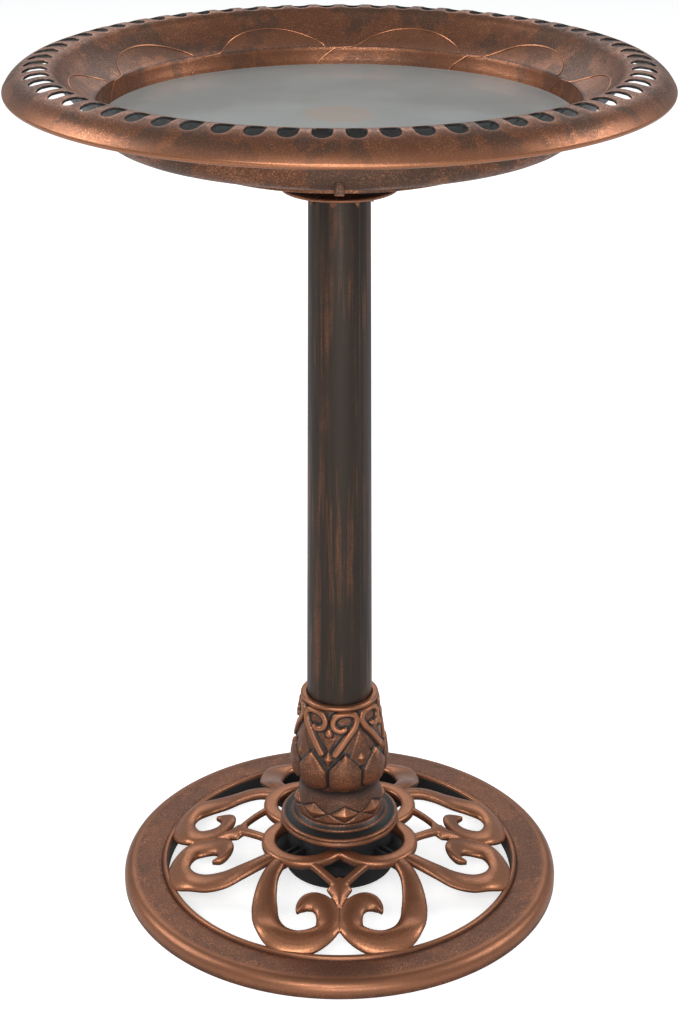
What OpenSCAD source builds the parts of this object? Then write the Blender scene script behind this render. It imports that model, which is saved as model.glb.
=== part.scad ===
// Garden bird bath on a scrolled foot: a shallow pierced-rim bowl that turns and lifts off
// a tapered post. Origin: centre of the footprint on the ground, +Z up, front towards -Y.

/* [Bowl] */
// Outside diameter of the bowl over its rolled lip
bowl_d = 500; // [420:1:600]
// Height of the crest of the rim above the ground
crest_z = 711; // [640:1:860]
// Diameter of the crest circle of the rim
crest_d = 444; // [350:1:560]
// Drop from the crest to the middle of the rolled lip
lip_drop = 17.5; // [10:0.5:26]
// Width of the flat band of the rim outside the crest
band_w = 14; // [10:0.5:18]
// Drop across that flat band
band_drop = 3.2; // [1:0.1:5]
// Diameter of the break line between the cove and the dish wall
dish_d = 364; // [300:1:440]
// Drop from the crest to the break line
cove_drop = 27; // [14:0.5:30]
// Depth of the dish from the crest to its floor
bowl_depth = 51; // [40:1:70]
// Wall of the bowl
bowl_wall = 3.5; // [2.5:0.1:5]
// Wall of the rim, thinner than the dish
rim_wall = 2; // [1.6:0.1:4]
// Outside diameter of the foot ring under the bowl
foot_d = 238; // [180:1:280]
// Height of the foot ring below the floor of the bowl
foot_h = 16.5; // [8:0.5:20]
// Number of slots round the rim
slot_n = 64; // [40:1:72]
// Width of one rim slot
slot_w = 13.6; // [8:0.2:14]
// Radial length of one rim slot
slot_len = 19; // [15:0.5:20]
// How far a slot bites inwards past the crest
slot_bite = 6.5; // [0:0.5:8]

/* [Post and cap] */
// Post diameter at the collar
post_d_low = 54.9; // [44:0.1:66]
// Post diameter under the cap
post_d_top = 48.2; // [40:0.1:58]
// Wall of the post tube
post_wall = 2.5; // [1.5:0.1:4]
// Diameter of the cap flange
cap_d = 91.4; // [80:0.1:120]
// Thickness of the cap flange
cap_t = 5; // [3:0.5:8]
// Number of pointed leaves hanging round the top of the post
leaf_n = 8; // [4:1:10]
// Length of one hanging leaf
leaf_len = 9.5; // [6:0.5:20]
// Width of one hanging leaf
leaf_w = 9; // [5:0.5:12]
// Outside diameter of the spigot that carries the bowl
spigot_d = 52; // [40:0.5:60]
// Height of the spigot above the flange
spigot_h = 24; // [14:0.5:28]
// Thickness of the seat ring the bowl turns on
seat_t = 2; // [1:0.5:4]

/* [Lotus collar] */
// Height of the top of the collar above the ground
collar_top_z = 179; // [150:1:230]
// Largest diameter over the petals
bulge_d = 81.4; // [74:0.2:100]
// Diameter of the neck under the petals
neck_d = 67.4; // [60:0.2:72]
// Diameter of the disc at the foot of the collar
disc_d = 101.4; // [94:0.2:130]
// How far the post sits down inside the collar
post_seat = 62; // [30:1:90]
// Number of lotus petals
petal_n = 6; // [4:1:10]

/* [Foot] */
// Outside diameter of the foot ring on the ground
base_d = 376; // [340:1:460]
// Inside diameter of the foot ring
base_in_d = 300; // [280:1:330]
// Height of the foot ring
ring_h = 17; // [12:0.5:24]
// Height of the lobed ring above the ground
lobe_z = 50; // [40:0.5:64]
// Thickness of the lobed ring
lobe_t = 9; // [6:0.5:14]
// Distance of each lobe centre from the axis
lobe_c = 41.7; // [38:0.1:46]
// Outside radius of one lobe
lobe_r = 37.5; // [34:0.1:42]
// Width of the lobed band
lobe_w = 13; // [8:0.5:16]
// Thickness of the heart scrolls
scroll_t = 9; // [6:0.5:12]
// Diameter of the hub drum
hub_d = 94; // [84:1:98]
// Clearance of the hub drum above the ground
hub_foot = 10; // [4:0.5:16]
// Wall of the hub drum
hub_wall = 4; // [3:0.5:6]

/* [Tie rod] */
// Diameter of the tie rod
rod_d = 8; // [6:1:10]
// Width of a nut across its flats
nut_af = 13; // [10:0.5:17]
// Thickness of a nut
nut_t = 6.5; // [5:0.5:8]
// Diameter of a washer
washer_d = 24; // [18:1:30]
// Thickness of a washer
washer_t = 2; // [1:0.5:3]

/* [Hidden] */
$fn = 96;

// Clearances
fit = 0.1;         // pieces bonded or clamped together
lift_gap = 0.5;    // bowl socket over the spigot, all round
rod_gap = 0.6;     // tie rod in its holes, all round
through = 1;       // how far a cut runs past a face

// Heights worked out from the driving sizes
floor_z = crest_z - bowl_depth;
bowl_under_z = floor_z - bowl_wall;
foot_z = floor_z - foot_h - bowl_wall;
socket_h = 38.5;
cap_top_z = bowl_under_z - socket_h;
cap_z = cap_top_z - cap_t;
seat_z = cap_top_z + seat_t;
disc_z = lobe_z + 3;
post_z = collar_top_z - post_seat;
hub_top_t = 6;

// Bowl profile
lip_r = 3;
crest_r = crest_d / 2;
dish_r = dish_d / 2;
lip_c = [bowl_d / 2 - lip_r, crest_z - lip_drop];
brim_end = lip_c + lip_r * [cos(35), sin(35)];
band_end = [crest_r + band_w, crest_z - band_drop];
// The cove meets the rounded top of the rim this far inside the crest
cove_w = 9;
floor_fillet = 12;
break_z = crest_z - cove_drop;
rib_n = 4;
rib_w = 7;
rib_d = 6;
tab_h = 9.5;
slot_r = slot_w / 2;

// Spigot, socket and their screws
spigot_wall = 3.5;
plug_h = 24;
leaf_t = 2;
leaf_gap = 0.3;
leaf_turn = -102;
socket_wall = 4;
socket_flange_d = 120;
socket_flange_t = 4;
screw_pcd = 96;
screw_n = 4;
screw_d = 4;
screw_head_d = 8;
screw_head_t = 2.6;

// Petals of the collar
petal_turn = -82;
petal_z = [disc_z + 38, disc_z + 84];
petal_half = 17;
petal_proud = 1.6;

// Foot
bead_w = 6;
base_r = base_d / 2;
ring_r = base_in_d / 2;
ring_wall = 4;
quarters = [-90, 0, 90, 180];
hub_r = hub_d / 2;
spoke_w = 9;
spoke_drop = 3;
// Half of one scroll as [sideways, outwards, half width], measured on a foot ring
// 300 mm inside; the far points follow the ring through scroll_s.
scroll_pts = [[50, 52, 6], [57, 69, 7.5], [61.5, 86, 10], [62.5, 101, 11], [60, 117.5, 11.5],
    [52, 132, 12], [38, 138.5, 10.5], [24, 137.5, 10.5], [12, 129, 10.5], [9, 116, 11],
    [12, 105, 10], [20, 99, 8], [28, 99.5, 6.5], [33, 104, 4], [35.6, 110.5, 0.6]];
scroll_s = ring_r / 150;
bud = [[0, 105], [12, 88.5], [5, 82], [0, 80], [-5, 82], [-12, 88.5]];
bar_w = 7;
bar_from = [3, 84];
bar_to = [23, 62];
// Height of the top of the scrollwork at a few distances from the axis
scroll_top = [[40, lobe_z], [58, lobe_z - 1], [82, lobe_z - 4.5], [99, lobe_z - 12.5],
    [110, lobe_z - 18.5], [122, lobe_z - 21.5], [137, lobe_z - 24], [152, ring_h]];

// Copper and dark finishes
copper = [0.48, 0.29, 0.20];
dark = [0.13, 0.12, 0.12];
steel = [0.62, 0.63, 0.65];

// Points along an arc about c
function arc(c, r, a0, a1, n) = [for (i = [0:n]) c + r * [cos(a0 + (a1 - a0) * i / n),
    sin(a0 + (a1 - a0) * i / n)]];
// Points on a shallow bow from p to q that swells to the left by sag
function bow(p, q, sag, n) = [for (i = [0:n]) let (t = i / n, d = q - p)
    p + d * t + 4 * t * (1 - t) * sag * [-d[1], d[0]] / norm(d)];
// Left-hand normal of a path at point i
function path_n(pts, i) = let (a = pts[max(i - 1, 0)], b = pts[min(i + 1, len(pts) - 1)],
    d = [b[0] - a[0], b[1] - a[1]]) [-d[1], d[0]] / norm(d);
function shift_path(pts, d) = [for (i = [0:len(pts) - 1]) pts[i] + d * path_n(pts, i)];
function reversed(v) = [for (i = [len(v) - 1:-1:0]) v[i]];
// Catmull-Rom curve through points of any size, m steps a span
function at(v, i) = v[max(0, min(len(v) - 1, i))];
function curve_pt(a, b, c, d, t) = 0.5 * (2 * b + (c - a) * t + (2 * a - 5 * b + 4 * c - d) * t * t
    + (3 * b - a - 3 * c + d) * t * t * t);
function curve(v, m) = concat([for (i = [0:len(v) - 2], k = [0:m - 1])
    curve_pt(at(v, i - 1), v[i], v[i + 1], at(v, i + 2), k / m)], [v[len(v) - 1]]);
// Outline of a band whose half width is the third value of each point
function band(c) = let (n = len(c) - 1, m = [for (p = c) [p[0], p[1]]])
    concat([for (i = [0:n]) m[i] + c[i][2] * path_n(m, i)],
           [for (i = [n:-1:0]) m[i] - c[i][2] * path_n(m, i)]);

module tube(r_out, r_in, h) {
    difference() {
        cylinder(h = h, r = r_out);
        translate([0, 0, -through]) cylinder(h = h + 2 * through, r = r_in);
    }
}

module round_about(n, turn = 0) {
    for (i = [0:n - 1]) rotate([0, 0, turn + i * 360 / n]) children();
}

// ---- Foot ----
module base_ring() color(copper) rotate_extrude() {
    edge = 9;
    polygon(concat(
        [[ring_r, 0]],
        arc([ring_r + bead_w / 2, ring_h - bead_w / 2], bead_w / 2, 180, 0, 10),
        [[ring_r + bead_w + 1, ring_h - 1.5]],
        arc([base_r - edge - 1, ring_h - edge - 1], edge, 90, 0, 12),
        [[base_r, 2], [base_r, 0], [base_r - ring_wall, 0],
         [base_r - ring_wall - 3, ring_h - edge], [base_r - edge - 4, ring_h - ring_wall - 1.5],
         [ring_r + ring_wall, ring_h - ring_wall - 1.5], [ring_r + ring_wall, 0]]));
}

module scroll_shell() rotate_extrude() {
    low = reversed([for (p = scroll_top) [p[0], p[1] - scroll_t]]);
    polygon(concat(scroll_top, low));
}

module lobe_discs(r) {
    for (a = [45:90:315]) rotate([0, 0, a]) translate([lobe_c, 0, 0]) circle(r = r);
}

module half_scroll() {
    scaled = [for (p = curve(scroll_pts, 4)) [p[0] * scroll_s, p[1] * scroll_s, p[2]]];
    polygon(band(scaled));
    polygon(band([[bar_from[0], bar_from[1], bar_w / 2], [bar_to[0], bar_to[1], bar_w / 2]]));
}

module heart_outline() intersection() {
    difference() {
        union() {
            half_scroll();
            mirror([1, 0]) half_scroll();
            polygon(bud);
        }
        lobe_discs(lobe_r + fit);
    }
    polygon([[0, fit], [base_r - fit, base_r], [fit - base_r, base_r]]);
    circle(r = ring_r - fit);
}

// Heart drawn outwards along +Y, then turned to its quarter
module heart_scroll(i) color(copper) rotate([0, 0, quarters[i] - 90]) intersection() {
    linear_extrude(height = lobe_z + through) heart_outline();
    scroll_shell();
}
module heart_scroll_front() heart_scroll(0);
module heart_scroll_right() heart_scroll(1);
module heart_scroll_back() heart_scroll(2);
module heart_scroll_left() heart_scroll(3);

module lobed_ring() color(copper) translate([0, 0, lobe_z - lobe_t])
    linear_extrude(height = lobe_t) difference() {
        lobe_discs(lobe_r);
        lobe_discs(lobe_r - lobe_w);
        circle(r = hub_r + fit);
    }

// Each spoke lies under the lobed ring with two ribs on its back
module hub_spokes() color(dark) round_about(4, 45) {
    reach = lobe_c + lobe_r - lobe_w / 2;
    top = lobe_z - lobe_t - fit;
    translate([hub_r + fit, -spoke_w / 2, top - spoke_drop - 4])
        cube([reach - hub_r - fit, spoke_w, 4 + spoke_drop]);
    for (y = [-spoke_w / 2, spoke_w / 2 - 2])
        translate([hub_r + fit, y, top])
            cube([lobe_c + lobe_r - lobe_w - 1 - hub_r, 2, 3]);
}

module hub_drum() color(dark) translate([0, 0, hub_foot]) difference() {
    cylinder(h = disc_z - hub_foot, r = hub_r);
    translate([0, 0, -through])
        cylinder(h = disc_z - hub_foot - hub_top_t + through, r = hub_r - hub_wall);
    cylinder(h = disc_z, r = rod_d / 2 + rod_gap);
}

module hub_cover() color(dark) translate([0, 0, hub_foot])
    cylinder(h = 3, r = hub_r - hub_wall - fit);

// ---- Lotus collar ----
module collar_shape(out) {
    b = bulge_d / 2 + out;
    k = neck_d / 2 + out;
    seat = post_d_low / 2;
    polygon(concat(
        [[0, disc_z], [disc_d / 2 - 2, disc_z]],
        arc([disc_d / 2 - 2, disc_z + 2.5], 2.5, -90, 60, 6),
        arc([disc_d / 2 - 3.2, disc_z + 6.5], 2, -40, 90, 5),
        [[seat + 13, disc_z + 9.5], [seat + 12.4, disc_z + 12]],
        bow([seat + 9, disc_z + 13], [k, disc_z + 28], 1, 5),
        bow([k, disc_z + 28], [b - 3, disc_z + 46], 1.5, 5),
        bow([b - 3, disc_z + 47], [b - 8.3, collar_top_z - 6], -2.2, 8),
        [[seat + 5, collar_top_z - 5], [seat + 5, collar_top_z - 1.5],
         [seat + 3, collar_top_z], [0, collar_top_z]]));
}

// A pointed petal, drawn flat and pressed radially into the collar
module petal_outline() {
    h = petal_z[1] - petal_z[0];
    wide = [petal_half, h * 0.42];
    other = [-petal_half, h * 0.42];
    polygon(concat(bow([0, 0], wide, -4, 5), bow(wide, [0, h], -2, 6),
        bow([0, h], other, -2, 6), bow(other, [0, 0], -4, 5)));
}

module lotus_collar() color(copper) difference() {
    union() {
        rotate_extrude() collar_shape(0);
        intersection() {
            rotate_extrude() collar_shape(petal_proud);
            round_about(petal_n, petal_turn) rotate([90, 0, 90])
                translate([0, petal_z[0], 20]) linear_extrude(height = 40) petal_outline();
        }
    }
    translate([0, 0, post_z]) cylinder(h = post_seat + through, r = post_d_low / 2 + fit);
    translate([0, 0, disc_z - through]) cylinder(h = post_z, r = rod_d / 2 + rod_gap);
}

// ---- Post and cap ----
module post() color(dark) rotate_extrude()
    polygon([[post_d_low / 2, post_z], [post_d_low / 2, collar_top_z], [post_d_top / 2, cap_z],
        [post_d_top / 2 - post_wall, cap_z], [post_d_low / 2 - post_wall, collar_top_z],
        [post_d_low / 2 - post_wall, post_z]]);

module leaf() rotate([90, 0, 90]) translate([0, cap_z + through / 2, post_d_top / 2 - 2])
    linear_extrude(height = 10)
        polygon([[-leaf_w / 2, 0], [-leaf_w / 2, -leaf_len / 4], [0, -leaf_len],
            [leaf_w / 2, -leaf_len / 4], [leaf_w / 2, 0]]);

module top_cap() color(copper) {
    plug_r = post_d_top / 2 - post_wall - fit;
    difference() {
        union() {
            translate([0, 0, cap_z]) cylinder(h = cap_t, r = cap_d / 2 - cap_t / 2);
            translate([0, 0, cap_z + cap_t / 2]) rotate_extrude()
                translate([cap_d / 2 - cap_t / 2, 0]) circle(r = cap_t / 2, $fn = 32);
            translate([0, 0, cap_top_z]) cylinder(h = spigot_h, r = spigot_d / 2);
            translate([0, 0, cap_z - plug_h]) cylinder(h = plug_h, r = plug_r);
        }
        translate([0, 0, cap_top_z])
            cylinder(h = spigot_h + through, r = spigot_d / 2 - spigot_wall);
        translate([0, 0, cap_z - plug_h - through])
            cylinder(h = plug_h + through, r = plug_r - spigot_wall);
        translate([0, 0, cap_z - through])
            cylinder(h = cap_t + 2 * through, r = rod_d / 2 + rod_gap);
    }
    intersection() {
        translate([0, 0, cap_z - leaf_len])
            tube(post_d_top / 2 + leaf_gap + leaf_t, post_d_top / 2 + leaf_gap, leaf_len + 1);
        round_about(leaf_n, leaf_turn) leaf();
    }
}

module seat_ring() color(dark) translate([0, 0, cap_top_z])
    tube(spigot_d / 2 + lift_gap + socket_wall + 3, spigot_d / 2 + lift_gap, seat_t);

// ---- Tie rod ----
rod_z = disc_z - hub_top_t - washer_t - nut_t - 4;
rod_top_z = cap_top_z + washer_t + nut_t + 4;

module tie_rod() color(steel) translate([0, 0, rod_z]) cylinder(h = rod_top_z - rod_z, r = rod_d / 2);

module tie_nuts() color(steel) {
    for (z = [disc_z - hub_top_t - washer_t - nut_t, cap_top_z + washer_t])
        translate([0, 0, z]) difference() {
            cylinder(h = nut_t, r = nut_af / 2 / cos(30), $fn = 6);
            translate([0, 0, -through]) cylinder(h = nut_t + 2 * through, r = rod_d / 2 + fit / 2);
        }
}

module tie_washers() color(steel) {
    for (z = [disc_z - hub_top_t - washer_t, cap_top_z])
        translate([0, 0, z]) tube(washer_d / 2, rod_d / 2 + fit, washer_t);
}

// ---- Bowl ----
module bowl_socket() color(dark) difference() {
    union() {
        translate([0, 0, seat_z])
            cylinder(h = bowl_under_z - seat_z, r = spigot_d / 2 + lift_gap + socket_wall);
        translate([0, 0, bowl_under_z - socket_flange_t])
            cylinder(h = socket_flange_t, r = socket_flange_d / 2);
    }
    translate([0, 0, seat_z - through])
        cylinder(h = bowl_under_z - seat_z - socket_flange_t + through, r = spigot_d / 2 + lift_gap);
    round_about(screw_n, 45) translate([screw_pcd / 2, 0, bowl_under_z - socket_flange_t - through])
        cylinder(h = socket_flange_t + 2 * through, r = screw_d / 2 + fit);
}

module socket_screws() color(steel) round_about(screw_n, 45) translate([screw_pcd / 2, 0, 0]) {
    translate([0, 0, bowl_under_z - socket_flange_t - screw_head_t])
        cylinder(h = screw_head_t, r = screw_head_d / 2);
    translate([0, 0, bowl_under_z - socket_flange_t - screw_head_t])
        cylinder(h = screw_head_t + socket_flange_t + bowl_wall / 2, r = screw_d / 2);
}

// Faces of the bowl from the rolled lip to the centre of the floor
fillet_c = [dish_r - 2.5 - floor_fillet, floor_z + floor_fillet];
upper = concat(
    bow(brim_end, band_end, -1.6, 5),
    [[crest_r + band_w / 2, crest_z - band_drop * 0.3], [crest_r, crest_z]],
    bow([crest_r - cove_w, crest_z - 1.3], [dish_r, break_z], 3, 6),
    arc(fillet_c, floor_fillet, 0, -84, 6),
    [[0, floor_z]]);
lower = concat(
    [[0, bowl_under_z]],
    arc(fillet_c, floor_fillet + bowl_wall, -84, 0, 6),
    bow([dish_r + bowl_wall * 0.8, break_z - bowl_wall],
        [crest_r - cove_w + 0.8, crest_z - rim_wall - 1.3], -3, 6),
    [[crest_r, crest_z - rim_wall], [crest_r + band_w / 2, crest_z - rim_wall - band_drop * 0.3]],
    bow(band_end - [0.6, rim_wall], lip_c + lip_r * [cos(200), sin(200)], 1.4, 4));

// A tab squares off the dish's bottom corner over each rib
tab_r = fillet_c[0] + floor_fillet + 2;
module corner_tab() translate([0, rib_w / 2, 0]) rotate([90, 0, 0])
    linear_extrude(height = rib_w) polygon(concat(
        [[fillet_c[0], bowl_under_z], [tab_r, bowl_under_z], [tab_r, bowl_under_z + tab_h]],
        arc(fillet_c, floor_fillet + bowl_wall / 2, -20, -90, 6)));

module bowl_shell() rotate_extrude()
    polygon(concat(upper, lower, arc(lip_c, lip_r, -135, 45, 9)));

module bowl() color(copper) difference() {
    union() {
        bowl_shell();
        translate([0, 0, foot_z]) tube(foot_d / 2, foot_d / 2 - bowl_wall, bowl_under_z - foot_z + fit);
        round_about(rib_n, -90) translate([foot_d / 2 - 1, -rib_w / 2, foot_z])
            cube([rib_d, rib_w, bowl_under_z - foot_z + fit]);
        round_about(rib_n, -90) corner_tab();
    }
    round_about(slot_n, 180 / slot_n) translate([crest_r - slot_bite, 0, crest_z - lip_drop - 10])
        linear_extrude(height = lip_drop + 20) {
            translate([slot_r, 0]) circle(r = slot_r, $fn = 32);
            translate([slot_len - slot_r, 0]) circle(r = slot_r, $fn = 32);
            translate([slot_r, -slot_r]) square([slot_len - slot_w, slot_w]);
        }
    round_about(screw_n, 45) translate([screw_pcd / 2, 0, bowl_under_z - through])
        cylinder(h = through + bowl_wall / 2 + fit, r = screw_d / 2 + fit / 2);
}

base_ring();
heart_scroll_front();
heart_scroll_right();
heart_scroll_back();
heart_scroll_left();
lobed_ring();
hub_spokes();
hub_drum();
hub_cover();
lotus_collar();
post();
top_cap();
tie_rod();
tie_nuts();
tie_washers();
seat_ring();
bowl_socket();
socket_screws();
bowl();
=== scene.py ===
"""Garden bird bath: detailed castings, finishes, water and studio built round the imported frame."""
import math

import bmesh
import bpy
import numpy as np
from bpy.props import FloatProperty, FloatVectorProperty, IntProperty, PointerProperty
from mathutils import Matrix, Vector


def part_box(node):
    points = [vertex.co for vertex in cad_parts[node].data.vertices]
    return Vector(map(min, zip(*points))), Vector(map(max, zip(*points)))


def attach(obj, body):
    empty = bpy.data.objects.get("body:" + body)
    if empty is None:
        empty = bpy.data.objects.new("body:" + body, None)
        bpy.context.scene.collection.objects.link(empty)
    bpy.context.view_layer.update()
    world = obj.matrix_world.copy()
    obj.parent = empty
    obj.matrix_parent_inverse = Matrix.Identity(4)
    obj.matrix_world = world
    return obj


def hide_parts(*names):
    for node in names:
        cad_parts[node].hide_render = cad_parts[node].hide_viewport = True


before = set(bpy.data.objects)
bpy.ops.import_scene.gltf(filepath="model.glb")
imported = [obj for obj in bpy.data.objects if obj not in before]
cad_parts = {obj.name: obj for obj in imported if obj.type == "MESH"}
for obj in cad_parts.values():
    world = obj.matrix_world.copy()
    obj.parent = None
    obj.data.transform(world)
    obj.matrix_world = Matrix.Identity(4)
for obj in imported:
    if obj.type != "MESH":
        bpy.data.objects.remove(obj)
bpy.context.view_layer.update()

bl_info = {
    "name": "Garden Bird Bath",
    "version": (1, 0, 0),
    "blender": (4, 5, 0),
    "location": "View3D > Sidebar > Bird Bath",
    "description": "Builds the castings, finishes, water and studio of a pedestal bird bath",
    "category": "Add Mesh",
}

MM = 0.001
TURN = 2 * math.pi

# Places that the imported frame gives, in millimetres
BOWL_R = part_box("bowl")[1].x / MM
CREST_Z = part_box("bowl")[1].z / MM
BOWL_FOOT_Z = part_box("bowl")[0].z / MM
RING_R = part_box("base_ring")[1].x / MM
RING_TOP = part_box("base_ring")[1].z / MM
LOBE_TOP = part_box("lobed_ring")[1].z / MM
COLLAR_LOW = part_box("lotus_collar")[0].z / MM
COLLAR_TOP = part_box("lotus_collar")[1].z / MM
POST_LOW_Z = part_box("post")[0].z / MM
POST_TOP_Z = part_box("post")[1].z / MM
POST_R_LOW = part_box("post")[1].x / MM
CAP_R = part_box("top_cap")[1].x / MM
CAP_T = 5.0
CAP_Z = POST_TOP_Z


# ---- Settings that a user would change ----
class BirdBathSizes(bpy.types.PropertyGroup):
    slot_count: IntProperty(name="Rim slots", description="Slots round the rim", default=64, min=8)
    slot_width: FloatProperty(name="Slot width", description="Width of a rim slot",
                              default=0.0136, unit="LENGTH")
    slot_length: FloatProperty(name="Slot length", description="Radial length of a rim slot",
                               default=0.019, unit="LENGTH")
    petal_count: IntProperty(name="Bowl petals", description="Petal outlines in the bowl",
                             default=10, min=3)
    bead: FloatProperty(name="Petal line", description="Radius of the moulded petal lines",
                        default=0.0007, unit="LENGTH")
    water_depth: FloatProperty(name="Water depth", description="Depth of the water over the floor",
                               default=0.010, unit="LENGTH")
    scroll_height: FloatProperty(name="Scroll thickness", description="Thickness of the scrollwork",
                                 default=0.009, unit="LENGTH")
    leaf_count: IntProperty(name="Cap leaves", description="Leaves hanging under the cap",
                            default=8, min=3)


class BirdBathColours(bpy.types.PropertyGroup):
    moulding: FloatVectorProperty(name="Moulding", description="Brown of the moulding", subtype="COLOR",
                                  size=4, default=(0.145, 0.059, 0.033, 1))
    rub: FloatVectorProperty(name="Copper rub", description="Copper rubbed on the high places",
                             subtype="COLOR", size=4, default=(0.57, 0.245, 0.128, 1))
    patina: FloatVectorProperty(name="Patina", description="Grey brown patches", subtype="COLOR",
                                size=4, default=(0.076, 0.053, 0.042, 1))
    # The near-black wash also serves as painted shade in hollows, slot walls and undersides
    wash_and_shade: FloatVectorProperty(name="Recess", description="Dark wash left in the recesses",
                                subtype="COLOR", size=4, default=(0.008, 0.010, 0.011, 1))
    post: FloatVectorProperty(name="Post", description="Dark base of the post", subtype="COLOR",
                              size=4, default=(0.036, 0.026, 0.020, 1))
    water: FloatVectorProperty(name="Water", description="Body colour of the water",
                               subtype="COLOR", size=4, default=(0.50, 0.525, 0.515, 1))


# ---- Curves and profiles, all in millimetres ----
def arc(c, r, a0, a1, n):
    """Points along an arc about c from angle a0 to a1 in degrees."""
    a = np.radians(np.linspace(a0, a1, n + 1))
    return np.column_stack([c[0] + r * np.cos(a), c[1] + r * np.sin(a)])


def bow(p, q, sag, n):
    """Points on a shallow bow from p to q that swells to the left by sag."""
    p, q = np.array(p, float), np.array(q, float)
    t = np.linspace(0, 1, n + 1)[:, None]
    d = q - p
    return p + d * t + 4 * t * (1 - t) * sag * np.array([-d[1], d[0]]) / np.linalg.norm(d)


def spline(points, m):
    """Catmull-Rom curve through points of any size, m steps a span."""
    p = np.array(points, float)
    p = np.vstack([p[:1], p, p[-1:]])
    out = []
    for i in range(1, len(p) - 2):
        a, b, c, d = p[i - 1:i + 3]
        for t in np.arange(m) / m:
            out.append(0.5 * (2 * b + (c - a) * t + (2 * a - 5 * b + 4 * c - d) * t * t
                              + (3 * b - a - 3 * c + d) * t ** 3))
    out.append(p[-2])
    return np.array(out)


def joined(*runs):
    """One polyline from several, without repeated points."""
    p = np.vstack([np.array(r, float).reshape(-1, 2) for r in runs])
    keep = np.r_[True, np.linalg.norm(np.diff(p, axis=0), axis=1) > 1e-4]
    return p[keep]


def smooth(x, low, high):
    """Eased step from zero at low to one at high."""
    t = np.clip((x - low) / (high - low), 0, 1)
    return t * t * (3 - 2 * t)


# ---- Mesh helpers ----
def new_object(name, data):
    """An object for a mesh, light or camera, linked into the scene."""
    obj = bpy.data.objects.new(name, data)
    bpy.context.scene.collection.objects.link(obj)
    return obj


def make_object(name, verts, faces, material=None, relief=None, angle=40):
    """A mesh object in the shared frame from millimetre points, closed and facing outwards."""
    mesh = bpy.data.meshes.new(name)
    mesh.from_pydata((np.asarray(verts) * MM).tolist(), [], [list(f) for f in faces])
    if relief is not None:
        set_relief_and_painted_light(mesh, relief)
    obj = new_object(name, mesh)
    tidy(obj, angle)
    if material:
        mesh.materials.append(material)
    return obj


def tidy(obj, angle=40, merge=2e-6):
    """Merges doubles, turns the faces outwards, and shades smooth with crisp edges past angle."""
    bm = bmesh.new()
    bm.from_mesh(obj.data)
    bmesh.ops.remove_doubles(bm, verts=bm.verts, dist=merge)
    bmesh.ops.dissolve_degenerate(bm, edges=bm.edges, dist=1e-7)
    bmesh.ops.recalc_face_normals(bm, faces=bm.faces)
    bm.to_mesh(obj.data)
    bm.free()
    obj.data.shade_smooth()
    obj.data.set_sharp_from_angle(angle=math.radians(angle))


def join(name, objects):
    """One object from several, keeping the first one's materials."""
    bpy.ops.object.select_all(action="DESELECT")
    for o in objects:
        o.select_set(True)
    bpy.context.view_layer.objects.active = objects[0]
    bpy.ops.object.join()
    objects[0].name = name
    objects[0].data.name = name
    return objects[0]


def ring_faces(rows, cols, closed=True):
    """Quads between rows of points, each row running once round the axis."""
    last = cols if closed else cols - 1
    return [(r * cols + c, r * cols + (c + 1) % cols, (r + 1) * cols + (c + 1) % cols,
             (r + 1) * cols + c) for r in range(rows - 1) for c in range(last)]


def turned(profile, steps):
    """Points and faces of a profile of (radius, height) turned about the axis."""
    a = np.linspace(0, TURN, steps, endpoint=False)
    p = np.asarray(profile, float)
    verts = np.stack([np.outer(p[:, 0], np.cos(a)), np.outer(p[:, 0], np.sin(a)),
                      np.outer(p[:, 1], np.ones(steps))], axis=2).reshape(-1, 3)
    return verts, ring_faces(len(p), steps)


def turned_object(name, profile, steps, material, relief=None, angle=40):
    """A turned piece; a profile that ends where it began makes a closed ring."""
    verts, faces = turned(profile, steps)
    values = np.full(len(verts), 0.6) if relief is None else np.repeat(relief, steps)
    return make_object(name, verts, faces, material, values, angle)


def section_loops(loops, closed_ends=True):
    """Points and faces of a tube through equal loops of points."""
    n, m = len(loops), len(loops[0])
    faces = [(i * m + j, i * m + (j + 1) % m, (i + 1) * m + (j + 1) % m, (i + 1) * m + j)
             for i in range(n - 1) for j in range(m)]
    if closed_ends:
        faces += [tuple(range(m))[::-1], tuple(range((n - 1) * m, n * m))]
    return np.vstack(loops), faces


def bead_tube(path, radius, sides=8):
    """A round bead along a 3D path."""
    path = np.asarray(path, float)
    tangent = np.gradient(path, axis=0)
    tangent /= np.linalg.norm(tangent, axis=1)[:, None]
    side = np.cross(tangent, [0, 0, 1.0])
    side /= np.maximum(np.linalg.norm(side, axis=1), 1e-6)[:, None]
    up = np.cross(side, tangent)
    a = np.linspace(0, TURN, sides, endpoint=False)
    loops = [p + radius * (np.outer(np.cos(a), s) + np.outer(np.sin(a), u))
             for p, s, u in zip(path, side, up)]
    return section_loops(loops)


# ---- Node helper ----
def feed(tree, node, values):
    """Fills inputs of a node, named or numbered, with plain values or links from other sockets."""
    for key, value in values.items():
        if isinstance(value, bpy.types.NodeSocket):
            tree.links.new(value, node.inputs[key])
        else:
            node.inputs[key].default_value = value


# ---- Geometry Nodes: one piece repeated round the vertical axis ----
WELD, APART = 2e-5, 1e-7      # metres; copies that meet are welded, others are left alone


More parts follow.
